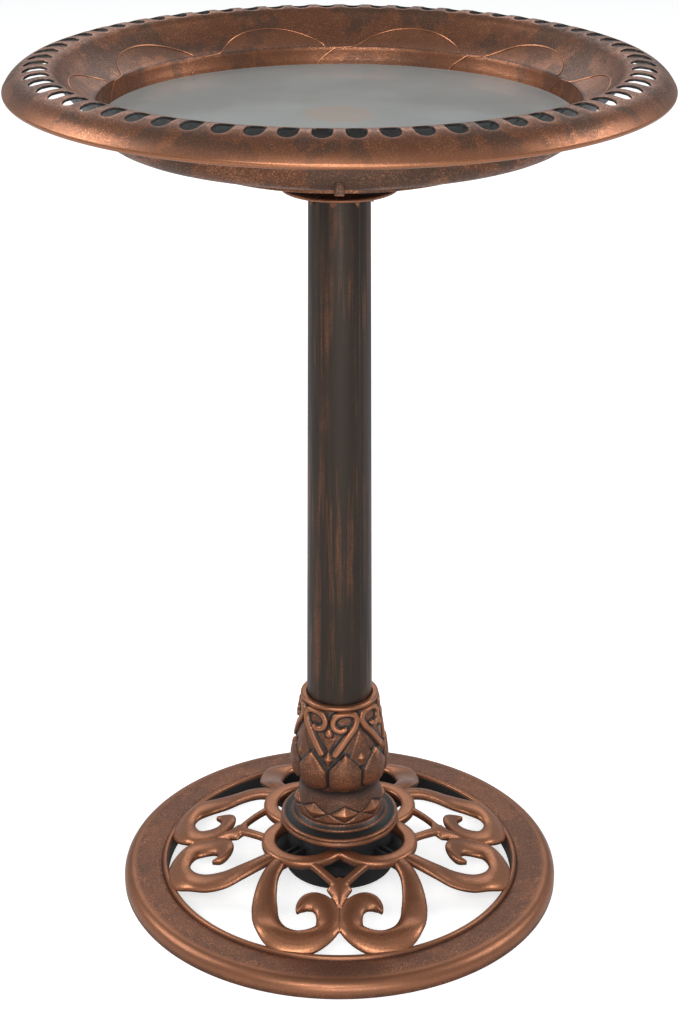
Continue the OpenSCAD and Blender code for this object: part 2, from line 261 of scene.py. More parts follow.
def round_tree():
    """Copies the mesh round the vertical axis, welds the copies and sets their material."""
    tree = bpy.data.node_groups.get("Round the axis")
    if tree:
        return tree
    tree = bpy.data.node_groups.new("Round the axis", "GeometryNodeTree")
    for label, kind in (("Geometry", "Geometry"), ("Count", "Int"), ("Turn", "Float"),
                        ("Weld Distance", "Float"), ("Material", "Material")):
        tree.interface.new_socket(label, in_out="INPUT", socket_type=f"NodeSocket{kind}")
    tree.interface.new_socket("Geometry", in_out="OUTPUT", socket_type="NodeSocketGeometry")
    new = tree.nodes.new
    given, out = new("NodeGroupInput").outputs, new("NodeGroupOutput")
    points, place = new("GeometryNodePoints"), new("GeometryNodeInstanceOnPoints")
    index, step, angle = new("GeometryNodeInputIndex"), new("ShaderNodeMath"), new("ShaderNodeMath")
    divide, vector = new("ShaderNodeMath"), new("ShaderNodeCombineXYZ")
    divide.operation, step.operation, angle.operation = "DIVIDE", "MULTIPLY", "ADD"
    real, weld = new("GeometryNodeRealizeInstances"), new("GeometryNodeMergeByDistance")
    paint = new("GeometryNodeSetMaterial")
    for node, values in (
            (points, {"Count": given["Count"]}),
            (divide, {0: TURN, 1: given["Count"]}),
            (step, {0: index.outputs[0], 1: divide.outputs[0]}),
            (angle, {0: step.outputs[0], 1: given["Turn"]}),
            (vector, {"Z": angle.outputs[0]}),
            (place, {"Points": points.outputs[0], "Instance": given["Geometry"],
                     "Rotation": vector.outputs[0]}),
            (real, {0: place.outputs[0]}),
            (weld, {"Geometry": real.outputs[0], "Distance": given["Weld Distance"]}),
            (paint, {"Geometry": weld.outputs[0], "Material": given["Material"]}),
            (out, {0: paint.outputs[0]})):
        feed(tree, node, values)
    return tree


def repeat_round(obj, count, turn_deg, weld, material):
    """Runs the tree on obj and keeps the result as a plain mesh."""
    tree = round_tree()
    modifier = obj.modifiers.new("Round the axis", "NODES")
    modifier.node_group = tree
    values = {"Count": count, "Turn": math.radians(turn_deg), "Weld Distance": weld,
              "Material": material}
    for item in tree.interface.items_tree:
        if item.in_out == "INPUT" and item.name in values:
            modifier[item.identifier] = values[item.name]
    bpy.context.view_layer.update()
    seen = obj.evaluated_get(bpy.context.evaluated_depsgraph_get())
    mesh = bpy.data.meshes.new_from_object(seen)
    obj.modifiers.clear()
    obj.data = mesh
    mesh.name = obj.name
    if not len(mesh.polygons):
        raise RuntimeError(f"{obj.name}: the repeat made no faces")
    return obj


# ---- Finishes ----
POST_STROKES = (0.19, 0.083, 0.047, 1)
BLACK, DUST = (0.010, 0.011, 0.013, 1), (0.05, 0.042, 0.036, 1)
ZINC_DULL, ZINC_BRIGHT = (0.42, 0.43, 0.44, 1), (0.66, 0.66, 0.64, 1)
# Colour of the floor flower painted onto the water, as if seen through it
PAINTED_FLOWER_VIEW = (0.60, 0.51, 0.43, 1)
FLOWER_PETALS = 10.0


def new_group(name, inputs, outputs):
    """An empty shader group with its named inputs and outputs."""
    group = bpy.data.node_groups.new(name, "ShaderNodeTree")
    for label, kind, value in inputs:
        socket = group.interface.new_socket(label, in_out="INPUT", socket_type=kind)
        if value is not None:
            socket.default_value = value
    for label, kind in outputs:
        group.interface.new_socket(label, in_out="OUTPUT", socket_type=kind)
    return group


def mix_colour(tree, factor, a, b):
    """A colour between a and b by a factor."""
    node = tree.nodes.new("ShaderNodeMix")
    node.data_type = "RGBA"
    feed(tree, node, {0: factor, 6: a, 7: b})
    return node.outputs[2]


def ramp(tree, value, low, high, out_low=0.0, out_high=1.0):
    """Eased change from out_low to out_high while the value goes from low to high."""
    node = tree.nodes.new("ShaderNodeMapRange")
    node.interpolation_type = "SMOOTHSTEP"
    feed(tree, node, {"Value": value, "From Min": low, "From Max": high,
                      "To Min": out_low, "To Max": out_high})
    return node.outputs["Result"]


def maths(tree, operation, a, b):
    """One sum on two numbers."""
    node = tree.nodes.new("ShaderNodeMath")
    node.operation = operation
    feed(tree, node, {0: a, 1: b})
    return node.outputs[0]


def noise(tree, vector, scale, detail=3.0, rough=0.55):
    """Cloudy grain; a larger scale is finer."""
    node = tree.nodes.new("ShaderNodeTexNoise")
    feed(tree, node, {"Vector": vector, "Scale": scale, "Detail": detail, "Roughness": rough})
    return node.outputs["Fac"]


def stretched(tree, vector, scale):
    """Coordinates scaled by three factors."""
    node = tree.nodes.new("ShaderNodeMapping")
    feed(tree, node, {"Scale": scale, "Vector": vector})
    return node.outputs[0]


def rubbed_group():
    """Copper paint rubbed over a brown moulding: flecks, patches, and a dark wash with painted shade in the
    hollows and undersides.
    """
    name = "Rubbed copper paint"
    if name in bpy.data.node_groups:
        return bpy.data.node_groups[name]
    colour, number = "NodeSocketColor", "NodeSocketFloat"
    group = new_group(name, [("Vector", "NodeSocketVector", None), ("Moulding", colour, None),
                             ("Rub", colour, None), ("Patina", colour, None), ("Recess", colour, None),
                             ("Relief", number, 0.6), ("Fleck Scale", number, 700.0),
                             ("Patch Scale", number, 14.0), ("Patch Amount", number, 0.5),
                             ("Rub Amount", number, 0.5)],
                      [("Color", colour), ("Roughness", number), ("Metallic", number),
                       ("Height", number)])

    def add(a, b):
        return maths(group, "ADD", a, b)

    def less(a, b):
        return maths(group, "SUBTRACT", a, b)

    def times(a, b):
        return maths(group, "MULTIPLY", a, b)

    def step(value, *ends):
        return ramp(group, value, *ends)

    given = group.nodes.new("NodeGroupInput").outputs
    out = group.nodes.new("NodeGroupOutput")
    where, relief = given["Vector"], given["Relief"]
    fleck = noise(group, where, given["Fleck Scale"], 2.0, 0.6)
    cloud = noise(group, where, 75.0, 4.0, 0.6)
    patch = noise(group, where, given["Patch Scale"], 5.0, 0.62)
    # Copper catches on the crowns, and as flecks where the hand went over; high values set as painted
    # highlights get the same copper
    high = step(relief, 0.5, 1.0)
    spread = add(times(step(cloud, 0.3, 0.7), 0.6), times(high, 0.5))
    edge = less(0.66, times(times(spread, given["Rub Amount"]), 0.34))
    flecks = step(fleck, less(edge, 0.15), add(edge, 0.15))
    rubbed = maths(group, "MAXIMUM", times(flecks, 0.7), times(high, 0.6))
    base = mix_colour(group, rubbed, given["Moulding"], given["Rub"])
    # Patches where the copper has dulled, kept off the crowns
    worn = times(step(patch, 0.5, 0.55), given["Patch Amount"])
    worn = times(worn, less(1.0, times(high, 0.9)))
    worn = times(worn, step(fleck, 0.4, 0.65, 1.0, 0.6))
    patched = mix_colour(group, worn, base, given["Patina"])
    # Dark wash and painted shade where the finish value is low: hollows, crevices, slot walls and undersides
    low = step(relief, 0.04, 0.46, 1.0, 0.0)
    rough = less(step(fleck, 0.3, 0.7, 0.48, 0.32), times(high, 0.07))
    feed(group, out, {"Color": mix_colour(group, low, patched, given["Recess"]),
                      "Roughness": add(rough, times(worn, 0.1)),
                      "Metallic": times(step(rubbed, 0.0, 1.0, 0.7, 0.95),
                                        step(low, 0.0, 1.0, 1.0, 0.3)),
                      "Height": add(times(fleck, 0.5), times(cloud, 0.6))})
    return group


def shader(name):
    """A material with its Principled BSDF and the object coordinates."""
    material = bpy.data.materials.new(name)
    material.use_nodes = True
    tree = material.node_tree
    bsdf = tree.nodes["Principled BSDF"]
    where = tree.nodes.new("ShaderNodeTexCoord").outputs["Object"]
    return material, tree, bsdf, where


def bump_into(tree, bsdf, height, strength, distance):
    """Turns a height into the normal of the surface."""
    node = tree.nodes.new("ShaderNodeBump")
    feed(tree, node, {"Strength": strength, "Distance": distance, "Height": height})
    feed(tree, bsdf, {"Normal": node.outputs["Normal"]})


def copper(name, patch_amount=0.5, rub_amount=0.5, patch_scale=14.0, fleck_scale=700.0):
    """Antique copper paint with its own amounts of patches and rub."""
    if name in bpy.data.materials:
        return bpy.data.materials[name]
    colours = bpy.context.scene.bird_bath_colours
    material, tree, bsdf, where = shader(name)
    paint = tree.nodes.new("ShaderNodeGroup")
    paint.node_tree = rubbed_group()
    relief = tree.nodes.new("ShaderNodeAttribute")
    relief.attribute_name = "relief"
    feed(tree, paint, {"Vector": where, "Relief": relief.outputs["Fac"],
                       "Moulding": tuple(colours.moulding), "Rub": tuple(colours.rub),
                       "Patina": tuple(colours.patina), "Recess": tuple(colours.wash_and_shade),
                       "Fleck Scale": fleck_scale, "Patch Scale": patch_scale,
                       "Patch Amount": patch_amount, "Rub Amount": rub_amount})
    feed(tree, bsdf, {"Base Color": paint.outputs["Color"], "Roughness": paint.outputs["Roughness"],
                      "Metallic": paint.outputs["Metallic"]})
    bump_into(tree, bsdf, paint.outputs["Height"], 0.35, 0.0005)
    return material


def scroll_copper():
    """Copper paint of the scrollwork, shared by the hearts and the lobed ring."""
    return copper("Copper scrollwork", 0.35, 0.62, 16.0, 1000.0)


def brushed_post():
    """Dark moulding with upright strokes of copper paint."""
    name = "Brushed gunmetal post"
    if name in bpy.data.materials:
        return bpy.data.materials[name]
    colours = bpy.context.scene.bird_bath_colours
    material, tree, bsdf, where = shader(name)
    stroke = noise(tree, stretched(tree, where, (1.0, 1.0, 0.035)), 170.0, 5.0, 0.65)
    broad = noise(tree, where, 16.0, 3.0, 0.5)
    grain = noise(tree, where, 800.0, 2.0, 0.6)
    strokes = maths(tree, "MULTIPLY", ramp(tree, stroke, 0.47, 0.66),
                    ramp(tree, broad, 0.38, 0.62, 0.15, 1.0))
    flecks = maths(tree, "MULTIPLY", strokes, ramp(tree, grain, 0.35, 0.6, 0.35, 1.0))
    feed(tree, bsdf, {"Base Color": mix_colour(tree, flecks, tuple(colours.post), POST_STROKES),
                      "Roughness": ramp(tree, stroke, 0.3, 0.7, 0.5, 0.36),
                      "Metallic": ramp(tree, flecks, 0.0, 1.0, 0.6, 0.85)})
    bump_into(tree, bsdf, stroke, 0.25, 0.0004)
    return material


def dark_moulding():
    """Plain black moulding with a trace of dust."""
    name = "Black moulding"
    if name in bpy.data.materials:
        return bpy.data.materials[name]
    material, tree, bsdf, where = shader(name)
    dust = noise(tree, where, 60.0, 4.0, 0.6)
    colour = mix_colour(tree, ramp(tree, dust, 0.45, 0.75, 0.0, 0.6), BLACK, DUST)
    feed(tree, bsdf, {"Base Color": colour, "Roughness": ramp(tree, dust, 0.3, 0.7, 0.5, 0.7)})
    bump_into(tree, bsdf, noise(tree, where, 900.0, 2.0), 0.2, 0.0003)
    return material


def zinc_steel():
    """Zinc plated steel with faint turning marks."""
    name = "Zinc plated steel"
    if name in bpy.data.materials:
        return bpy.data.materials[name]
    material, tree, bsdf, where = shader(name)
    marks = noise(tree, where, 400.0, 3.0)
    feed(tree, bsdf, {"Metallic": 1.0, "Base Color": mix_colour(tree, marks, ZINC_DULL, ZINC_BRIGHT),
                      "Roughness": ramp(tree, marks, 0.3, 0.7, 0.28, 0.42)})
    return material


def water_surface():
    """Still water under a pale sky, partly clear, with a view of the floor's flower painted into its colour.
    """
    name = "Still water"
    if name in bpy.data.materials:
        return bpy.data.materials[name]
    colours = bpy.context.scene.bird_bath_colours
    material, tree, bsdf, where = shader(name)
    drift = noise(tree, where, 9.0, 3.0, 0.5)
    body = tuple(colours.water)
    lighter = tuple(min(1.0, c * 1.08) for c in body[:3]) + (1,)
    still = mix_colour(tree, ramp(tree, drift, 0.35, 0.65), body, lighter)
    # Painted view of the floor flower and its radial lines, standing in for the floor seen through the water
    length = tree.nodes.new("ShaderNodeVectorMath")
    length.operation = "LENGTH"
    feed(tree, length, {0: stretched(tree, where, (1.0, 1.0, 0.0))})
    radius = length.outputs["Value"]
    apart = tree.nodes.new("ShaderNodeSeparateXYZ")
    feed(tree, apart, {0: where})
    angle = maths(tree, "ARCTAN2", apart.outputs["Y"], apart.outputs["X"])
    wave = maths(tree, "SINE", maths(tree, "MULTIPLY", angle, FLOWER_PETALS), 0.0)
    edge = maths(tree, "SUBTRACT", radius, maths(tree, "MULTIPLY", wave, 0.0035))
    flower = ramp(tree, edge, 0.0255, 0.0285, 0.75, 0.0)
    painted_rays = maths(tree, "MULTIPLY", ramp(tree, wave, 0.93, 1.0, 0.0, 0.35),
                 ramp(tree, radius, 0.03, 0.11, 1.0, 0.0))
    seen = maths(tree, "MAXIMUM", flower, painted_rays)
    feed(tree, bsdf, {"Base Color": mix_colour(tree, seen, still, PAINTED_FLOWER_VIEW),
                      "Alpha": ramp(tree, drift, 0.3, 0.7, 0.54, 0.60),
                      "Roughness": 0.08, "IOR": 1.33, "Specular IOR Level": 0.15})
    bump_into(tree, bsdf, noise(tree, where, 28.0, 2.0), 0.12, 0.0006)
    return material


# ---- Foot ----
FOOT_BEAD = 4.6
RING_IN = 150.0
SCROLL_TOP = [(40, 50), (58, 49.2), (75, 46.5), (90, 41), (105, 33.5), (120, 29), (135, 26.8), (152, 17)]
SCROLL_BAND = [(46, 50, 6), (57, 70, 7.5), (61.5, 87, 9.5), (62.3, 101.5, 11), (60, 117.5, 11.3),
               (52, 131.5, 11.5), (38, 138.2, 10.5), (24, 137, 10.5), (12, 129, 10.5), (8.5, 117, 11),
               (11.5, 105.5, 10), (19.5, 99.2, 8), (27.5, 99.3, 6.7), (32.6, 103.2, 4.2),
               (35.2, 109.5, 1.2)]
LOBE_C, LOBE_R, LOBE_W, LOBE_SWEEP = 41.7, 37.5, 13.0, 103      # centre, radius, width, degrees


def cone_height(side, out=None):
    """Height of the crown of the scrollwork; it falls off less to the sides of each heart."""
    r = side if out is None else np.sqrt(out ** 2 + 0.35 * side ** 2)
    table = np.array(SCROLL_TOP, float)
    shift = LOBE_TOP - table[0, 1]
    curve = spline(table, 8)
    return np.interp(r, curve[:, 0], curve[:, 1]) + shift


def domed_section(n=18, square=2.15):
    """Cross-section of a cast band: (sideways -1..1, down from crown 0..1), rounded on top."""
    a = np.linspace(0, TURN, n, endpoint=False)
    x = np.sign(np.cos(a)) * np.abs(np.cos(a)) ** (2 / square)
    y = np.sign(np.sin(a)) * np.abs(np.sin(a)) ** (2 / square)
    return x, (1 - y) / 2


def band_loops(centre, thickness, section, heart=True):
    """Loops of a band that lies on the scroll cone, from centre points (x, y, half width)."""
    x, down = section
    c = np.asarray(centre, float)
    tangent = np.gradient(c[:, :2], axis=0)
    tangent /= np.linalg.norm(tangent, axis=1)[:, None]
    loops = []
    for (px, py, w), (tx, ty) in zip(c, tangent):
        sx, sy = px - ty * w * x, py + tx * w * x
        thin = min(1.0, 0.35 + w / 7.0)
        z = (cone_height(sx, sy) if heart else LOBE_TOP) - thickness * thin * down
        loops.append(np.column_stack([sx, sy, z]))
    return loops


def fuse(name, parts, voxel, passes, material):
    """Fuses overlapping closed parts into one casting and eases its corners."""
    objects = [make_object(f"{name}_{i}", v, f) for i, (v, f) in enumerate(parts)]
    obj = join(name, objects)
    remesh = obj.modifiers.new("Fuse", "REMESH")
    remesh.mode = "VOXEL"
    remesh.voxel_size = voxel * MM
    ease = obj.modifiers.new("Ease", "SMOOTH")
    ease.factor = 0.5
    ease.iterations = passes
    seen = obj.evaluated_get(bpy.context.evaluated_depsgraph_get())
    mesh = bpy.data.meshes.new_from_object(seen)
    obj.modifiers.clear()
    obj.data = mesh
    mesh.name = name
    mesh.materials.clear()
    mesh.materials.append(material)
    for polygon in mesh.polygons:
        polygon.material_index = 0
    mesh.shade_smooth()
    return obj


def points_of(mesh):
    """Points of a mesh in millimetres."""
    co = np.zeros(len(mesh.vertices) * 3, np.float32)
    mesh.vertices.foreach_get("co", co)
    return co.reshape(-1, 3).astype(float) / MM


def set_relief_and_painted_light(mesh, values):
    """Stores each point's finish value, from 0 in a hollow to 1 on a crown; on some pieces it also holds
    painted shade and painted highlights.
    """
    a = mesh.attributes.get("relief") or mesh.attributes.new("relief", "FLOAT", "POINT")
    a.data.foreach_set("value", np.asarray(values, np.float32))


def band_rub_and_painted_light(mesh, thickness, heart=True):
    """Copper on the crown of a cast band, more copper as a painted highlight on the outer bottoms of each
    heart, and a dark wash with painted shade down its sides.
    """
    p = points_of(mesh)
    depth = (cone_height(p[:, 0], p[:, 1]) if heart else LOBE_TOP) - p[:, 2]
    # Painted highlight: more copper towards each heart's outer bottoms; painted shade: darker down the sides
    crown = 0.78 + (0.22 * smooth(p[:, 1], 108, 134) if heart else 0.06)
    set_relief_and_painted_light(mesh, crown - 0.78 * smooth(depth, 0.38 * thickness, 1.0 * thickness))


def heart_parts(thickness):
    """The closed parts of one heart, drawn outwards along +Y."""
    section = domed_section()
    centre = spline(SCROLL_BAND, 5)
    parts = []
    for side in (1, -1):
        parts.append(section_loops(band_loops(centre * [side, 1, 1], thickness, section)))
        bar = bow((2 * side, 86), (25 * side, 60), 0.8 * side, 8)
        widths = 3.4 + 1.2 * smooth(np.arange(9), 6, 8)
        parts.append(section_loops(band_loops(np.column_stack([bar, widths]), thickness * 0.8,
                                              domed_section(14, 3.0))))
    bud = spline([(0, 80, 4.5), (0, 84, 7.5), (0, 88.5, 11.0), (0, 92.5, 8.5), (0, 97, 5.5),
                  (0, 104.5, 2.4)], 4)
    parts.append(section_loops(band_loops(bud, thickness * 1.05, domed_section(18, 1.7))))
    return parts


def turn_mesh(mesh, degrees):
    """Turns a mesh about the vertical axis."""
    mesh.transform(Matrix.Rotation(math.radians(degrees), 4, "Z"))


def build_scrolls(thickness):
    """Four heart castings on the scroll cone, one to each quarter of the foot."""
    first = fuse("heart_casting_front", heart_parts(thickness), 0.95, 3, scroll_copper())
    band_rub_and_painted_light(first.data, thickness)
    turn_mesh(first.data, 180)
    pieces = [first]
    for name, turn in (("right", 90), ("back", 180), ("left", 270)):
        mesh = first.data.copy()
        turn_mesh(mesh, turn)
        pieces.append(new_object(f"heart_casting_{name}", mesh))
    for obj, name in zip(pieces, ("front", "right", "back", "left")):
        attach(obj, "stand")
        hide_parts(f"heart_scroll_{name}")
    return pieces


def build_lobed_ring(thickness):
    """Four open lobes fused into the ring that crowns the scrollwork."""
    parts = []
    section = domed_section(20, 3.2)
    for degrees in (45, 135, 225, 315):
        turn = math.radians(degrees)
        c = LOBE_C * np.array([math.cos(turn), math.sin(turn)])
        run = arc(c, LOBE_R - LOBE_W / 2, degrees - LOBE_SWEEP, degrees + LOBE_SWEEP, 44)
        band = np.column_stack([run, np.full(len(run), LOBE_W / 2)])
        parts.append(section_loops(band_loops(band, thickness, section, False)))
    obj = fuse("lobed_ring_casting", parts, 0.9, 3, scroll_copper())
    band_rub_and_painted_light(obj.data, thickness, False)
    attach(obj, "stand")
    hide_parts("lobed_ring")
    return obj


def build_hub_flare():
    """Dark flare round the top of the hub drum, seen through the lobes of the ring."""
    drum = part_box("hub_drum")[1].x / MM
    level = LOBE_TOP - 17
    flare = [(-1, 1), (7, 0), (9.5, -1.5), (9.5, -4), (6, -5.5), (-1, -12), (-1, 1)]
    rows = np.array(flare) + [drum, level]
    obj = turned_object("hub_flare", rows, 120, dark_moulding())
    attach(obj, "stand")
    return obj


def build_foot_ring():
    """The moulded ring that stands on the ground, beaded round its inner edge and hollow below."""
    edge, wall, bead = 9.5, 4.0, FOOT_BEAD / 2
    outer, top = RING_R, RING_TOP
    # Runs of the profile, each with its finish value; the inner wall and the hollow underside are set dark
    # as painted shade
    runs = [([(RING_IN, 0), (RING_IN, 6), (RING_IN, top - bead - 1.2)], 0.08),
            (arc((RING_IN + bead, top - bead), bead, 180, 10, 14), 0.8),
            ([(RING_IN + FOOT_BEAD + 0.6, top - 3.4)], 0.25),
            (bow((RING_IN + FOOT_BEAD + 2, top - 2.6), (outer - edge - 3, top - 1.6), 0.2, 6), 0.55),
            (arc((outer - edge, top - 2 - edge), edge, 84, 0, 18), 0.8),
            ([(outer, 2.2)], 0.5), (arc((outer - 1, 1), 1, 0, -90, 4), 0.3),
            ([(outer - wall, 0), (outer - wall - 2, top - edge), (outer - edge - 4, top - wall - 3),
              (RING_IN + wall + 4, top - wall - 3), (RING_IN + wall, top - wall - 6), (RING_IN + wall, 0),
              (RING_IN, 0)], 0.15)]
    profile = np.vstack([np.array(r, float).reshape(-1, 2) for r, _ in runs])
    relief = np.concatenate([np.full(len(np.array(r).reshape(-1, 2)), v) for r, v in runs])
    material = copper("Copper foot ring", 0.35, 0.34, 20.0, 1000.0)
    obj = turned_object("foot_ring_moulding", profile, 288, material, relief, 35)
    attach(obj, "stand")
    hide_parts("base_ring")
    return obj


# ---- Lotus collar ----
LYRE_TURN = -105.0      # direction of one lyre, degrees from +X
COLLAR_CORE = [(64.5, 39.9), (66.5, 36.6), (70, 36.6), (78, 35.4), (84, 34.2), (90, 33.4), (96, 33.6),
               (99, 34.6), (102, 35.8), (108, 37.2), (118, 38.0), (126, 37.4), (136, 36.2), (148, 34.4),
               (160, 33.0), (170, 31.4), (174.5, 30.6)]


def cell(a, pitch):
    """Angle from the middle of the nearest of equal cells that meet at a = 0."""
    return np.mod(a, pitch) - pitch / 2


def stroke_distance(a, z, path, aspect):
    """Distance in mm from points to a path of (angle, height), and how far along it they are."""
    best = np.full(a.shape, 1e9)
    along = np.zeros(a.shape)
    p = np.array(path, float) * [aspect, 1]
    x, y = a * aspect, z
    for i in range(len(p) - 1):
        d = p[i + 1] - p[i]
        t = np.clip(((x - p[i, 0]) * d[0] + (y - p[i, 1]) * d[1]) / (d @ d), 0, 1)
        g = np.hypot(x - p[i, 0] - t * d[0], y - p[i, 1] - t * d[1])
        near = g < best
        best = np.where(near, g, best)
        along = np.where(near, (i + t) / (len(p) - 1), along)
    return best, along


def dome(distance, half, height, power=2.0):
    """Rounded ridge of that half width."""
    return height * np.sqrt(np.clip(1 - (distance / half) ** power, 0, 1))


def collar_relief_and_painted_shade(a, z):
    """Height in mm and finish mask of the ornament, with painted shade on the neck; a is degrees from a
    lyre's middle.
    """
    per_deg = 0.64
    height = np.zeros(a.shape)
    mask = np.full(a.shape, 0.34)

    def lay(h, shade, where):
        """Lays a feature over what is there, where it stands higher."""
        nonlocal height, mask
        take = where & (h >= height)
        height = np.where(take, h, height)
        mask = np.where(take, shade, mask)

    # Plain leaf between the lyres, and the web inside each V
    between = np.abs(cell(a, 90))
    lay(1.0 + 0 * a, 0.42 + 0 * a, (between < (156 - z) * 0.72) & (z > 124) & (z < 156))
    inside = np.abs(np.mod(a + 45, 90) - 45)
    lay(0.9 + 0 * a, 0.36 + 0 * a, (inside < (z - 137.5) * 0.72) & (z > 137) & (z < 150.5))
    # Petals
    c = np.abs(cell(a, 45))
    upper = np.clip((z - 120.5) / 16.2, 0, 1)
    lower = np.clip((106.5 - z) / 6.2, 0, 1)
    half = 20.9 * np.clip(1 - upper ** 1.12, 0, 1) * np.sqrt(np.clip(1 - lower ** 2.2, 0, 1))
    t = np.where(half > 0.2, c / np.maximum(half, 0.2), 9)
    swell = 2.9 * np.clip(1 - t ** 3.2, 0, 1) ** 0.55
    swell = swell * (1 - 0.30 * smooth(z, 118, 137)) * (0.55 + 0.45 * smooth(z, 100, 108))
    swell = swell + 0.7 * np.clip(1 - c / 3.5, 0, 1) * smooth(z, 118, 134) * (t < 1)
    swell = swell + 1.25
    ridge = np.clip(1 - c / 5, 0, 1) * smooth(z, 124, 134)
    lay(swell, 0.38 + 0.20 * smooth(swell, 2.4, 4.2) + 0.30 * ridge, t < 1)
    # Small four-sided buds in the gaps
    g = np.abs(np.mod(a + 22.5, 45) - 22.5)
    d = g / 6.6 + np.abs(z - 131.5) / 6.8
    lay(0.6 + 2.6 * (1 - d), 0.62 + 0.38 * np.clip(1 - d, 0, 1), d < 1)
    # Lyre arms and volutes, mirrored about the lyre
    m = np.abs(np.mod(a + 45, 90) - 45)
    arm = spline([(9.6, 136.6), (17.5, 144), (26.5, 152), (36, 159), (40.8, 166), (36.5, 171.3),
                  (24.5, 173.0), (11.5, 171.0), (5.6, 165.4), (8.4, 159.8), (16.5, 157.6),
                  (22.5, 158.9)], 5)
    dist, along = stroke_distance(m, z, arm, per_deg)
    width = 3.1 - 0.5 * smooth(along, 0.35, 1.0)
    lay(dome(dist, width, 2.0, 3.5) + 1.0, 0.40 + 0.42 * dome(dist, width, 1.0), dist < width)
    # Bud at the fork and its stalk
    d = np.hypot((np.mod(a + 45, 90) - 45) / 5.2, (z - 154.6) / 4.6)
    lay(dome(d, 1.0, 2.6), 0.55 + 0.4 * dome(d, 1.0, 1.0), d < 1)
    # Diamond band at the foot
    e = c / 20.6 + np.abs(z - 77) / 7.2
    lay(0.8 + 3.0 * np.clip(1 - e, 0, 1), 0.55 + 0.45 * np.clip(1 - e, 0, 1), e < 0.94)
    # Painted shade on the neck above the diamonds, darker towards the petals over it
    over = (e > 1.07) & (z >= 77) & (z < 99)
    lay(1.25 * (1 - 0.8 * smooth(z, 84, 97)), np.full(a.shape, 0.27) - 0.17 * smooth(z, 88, 98), over)
    under = (e > 1.07) & (z < 77) & (z > 69.2)
    lay(1.1 + 0 * a, 0.5 + 0 * a, under)
    return height, mask


def build_collar():
    """The cast collar: one quarter of ornament between a turned foot and a turned top, four times."""
    rows_z = np.concatenate([np.arange(66.5, 100, 0.55), np.arange(100, 174.4, 0.5)])
    cols = 100
    angles = np.linspace(-45, 45, cols + 1)
    core = spline([(z, r) for z, r in COLLAR_CORE], 6)
    a, z = np.meshgrid(angles, rows_z)
    height, mask = collar_relief_and_painted_shade(a, z)
    for _ in range(2):
        wrap = np.pad(height, ((1, 1), (0, 0)), mode="edge")
        wrap = np.hstack([wrap[:, -2:-1], wrap, wrap[:, 1:2]])
        height = (wrap[1:-1, 1:-1] * 4 + wrap[:-2, 1:-1] + wrap[2:, 1:-1] + wrap[1:-1, :-2]
                  + wrap[1:-1, 2:]) / 8
    # Painted shade in the crevices: places lower than their blurred surroundings are darkened; raised bits
    # get more copper
    broad = height.copy()
    for _ in range(14):
        wrap = np.hstack([broad[:, -2:-1], broad, broad[:, 1:2]])
        wrap = np.pad(wrap, ((1, 1), (0, 0)), mode="edge")
        broad = (wrap[:-2, 1:-1] + wrap[2:, 1:-1] + wrap[1:-1, :-2] + wrap[1:-1, 2:]) / 4
    mask = np.clip(mask - 0.85 * np.clip(broad - height - 0.12, 0, 1)
                   + 0.16 * np.clip(height - broad, 0, 1), 0, 1)
    fade = smooth(z, 66.5, 69) * (1 - smooth(z, 173.2, 174.4))
    radius = np.interp(z, core[:, 0], core[:, 1]) + height * fade
    foot_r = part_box("lotus_collar")[1].x / MM
    low = COLLAR_LOW
    below = joined([(0.0, low), (foot_r - 2.4, low)], arc((foot_r - 2.4, low + 2.4), 2.4, -90, 55, 8),
                   arc((foot_r - 2.6, low + 6.1), 1.7, -35, 100, 8), [(foot_r - 3.8, low + 7.6)],
                   bow((foot_r - 4.6, low + 8.0), (40.9, low + 10.0), -0.2, 4),
                   arc((40.0, low + 10.6), 0.55, -20, 120, 5), [(38.6, low + 12.4)])
    # Finish up the turned foot; the flat ring inside the beads is set near black as painted shade
    below_rub_and_shade = np.interp(np.arange(len(below)), [0, 1, 4, 9, 11, 12, 16, 18, 19, 23, 24, 27, 29, 30],
                           [.1, .5, .8, .6, .3, .6, .8, .5, .08, .06, .5, .8, .2, .1])
    top = COLLAR_TOP
    above = joined([(31.4, 174.6)], arc((30.7, top - 2.3), 2.2, -30, 90, 8),
                   [(POST_R_LOW + 0.9, top - 0.2)],
                   arc((POST_R_LOW + 0.9, top - 0.9), 0.6, 90, 180, 3),
                   [(POST_R_LOW + 0.2, top - 30), (0.0, top - 30)])
    above_mask = np.r_[0.2, np.full(len(above) - 3, 0.85), 0.1, 0.1]

    def stacked(low_rows, rows, high_rows):
        """Rows of the ornament between plain rows of the foot and the top."""
        return np.vstack([np.repeat(low_rows[:, None], cols + 1, 1), rows,
                          np.repeat(high_rows[:, None], cols + 1, 1)])

    full_r = stacked(below[:, 0], radius, above[:, 0])
    full_z = stacked(below[:, 1], z, above[:, 1])
    shade = stacked(below_rub_and_shade, mask, above_mask)
    t = np.radians(angles)[None, :] + 0 * full_r
    verts = np.stack([full_r * np.cos(t), full_r * np.sin(t), full_z], axis=2).reshape(-1, 3)
    faces = ring_faces(full_r.shape[0], cols + 1, closed=False)
    material = copper("Copper collar", 0.35, 0.56, 26.0, 1000.0)
    obj = make_object("lotus_collar_casting", verts, faces, material, shade.reshape(-1))
    repeat_round(obj, 4, LYRE_TURN, WELD, material)
    tidy(obj, 62, 5e-6)
    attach(obj, "stand")
    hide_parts("lotus_collar")
    return obj


# ---- Post and cap ----
POST_R_TOP = 24.1
SEAM_TURN = (-51.0, 129.0)      # degrees from +X
FIRST_LEAF = -102.0


def post_radius(z):
    """Outer radius of the tapered post."""
    return np.interp(z, [COLLAR_TOP, POST_TOP_Z], [POST_R_LOW, POST_R_TOP])


